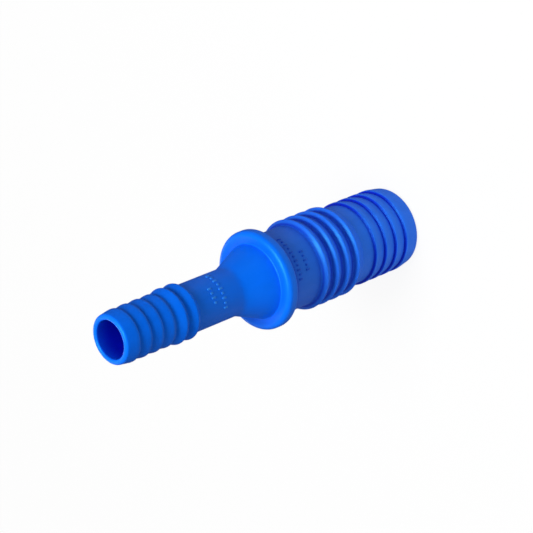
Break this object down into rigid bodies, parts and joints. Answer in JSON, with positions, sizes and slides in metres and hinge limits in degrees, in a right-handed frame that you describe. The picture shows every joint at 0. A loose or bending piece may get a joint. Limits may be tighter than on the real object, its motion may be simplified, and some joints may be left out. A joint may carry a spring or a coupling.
{
  "type": "reducing union",
  "caption": "Straight moulded insert fitting with barbed spigots of two sizes and a stop flange, to join a large pipe or hose to a smaller one.",
  "frame": {"origin": "centre of the large open end, on the plane that the fitting stands on", "axes": "+Z along the bore, from the large spigot to the small one"},
  "size_m": [0.0321, 0.0322, 0.1212],
  "materials": {
    "blue_polypropylene": "satin"
  },
  "bodies": {
    "root": {"reducing_union": "blue_polypropylene"}
  },
  "joints": []
}
